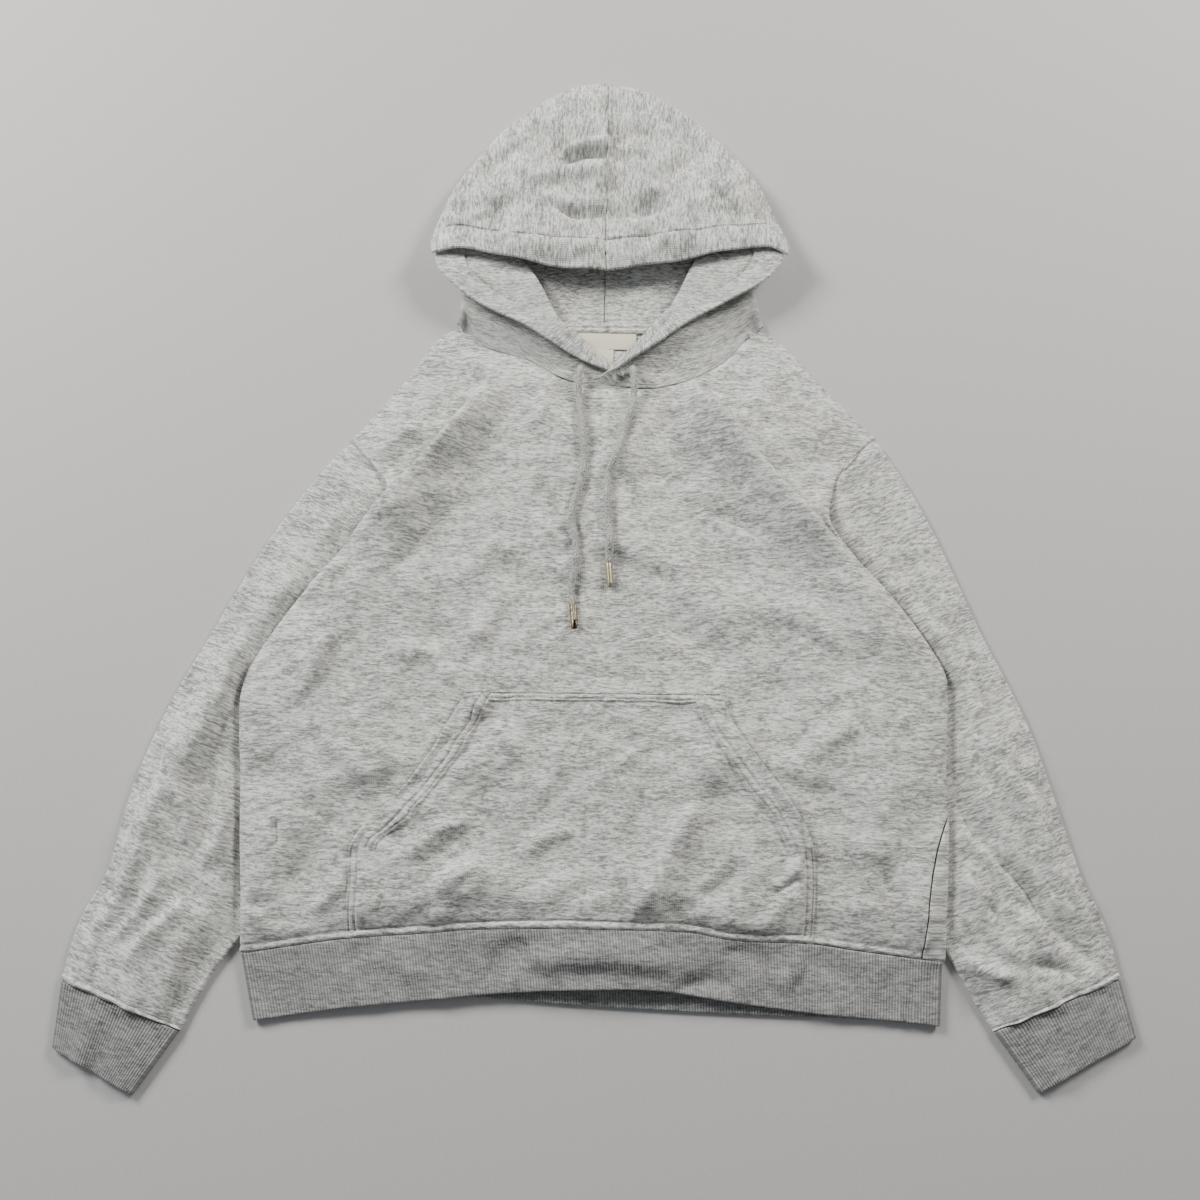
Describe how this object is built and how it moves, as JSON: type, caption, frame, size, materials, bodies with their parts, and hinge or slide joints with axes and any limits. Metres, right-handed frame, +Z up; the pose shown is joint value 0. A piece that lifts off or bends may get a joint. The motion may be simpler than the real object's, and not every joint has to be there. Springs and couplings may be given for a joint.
{
  "type": "pullover hoodie",
  "caption": "Hooded sweatshirt laid flat on its back, hood spread above the neck, sleeves angled down, with kangaroo pocket, drawcord and ribbed cuffs and hem.",
  "frame": {"origin": "on the surface the garment lies on, under the back panel, on the centre line level with the armpits", "axes": "+X towards the wearer's left sleeve, +Y from the hem to the hood, +Z up out of the front"},
  "size_m": [0.8586, 0.9226, 0.0309],
  "materials": {
    "melange": "light grey melange sweatshirt knit",
    "ribbing": "light grey melange rib knit",
    "cord": "braided light grey cotton",
    "tips": "folded metal, dull brass",
    "label": "woven cream satin, no printing"
  },
  "bodies": {
    "root": {"front_panel": "melange", "back_panel": "melange", "sleeve_right": "melange", "sleeve_left": "melange", "cuff_right": "ribbing", "cuff_left": "ribbing", "hem_band": "ribbing", "pocket": "melange", "hood_right": "melange", "hood_left": "melange", "neck_tape": "cord", "neck_label": "label", "size_tag": "label", "drawcord_right": "cord", "aglet_right": "tips", "drawcord_left": "cord", "aglet_left": "tips"}
  },
  "joints": []
}
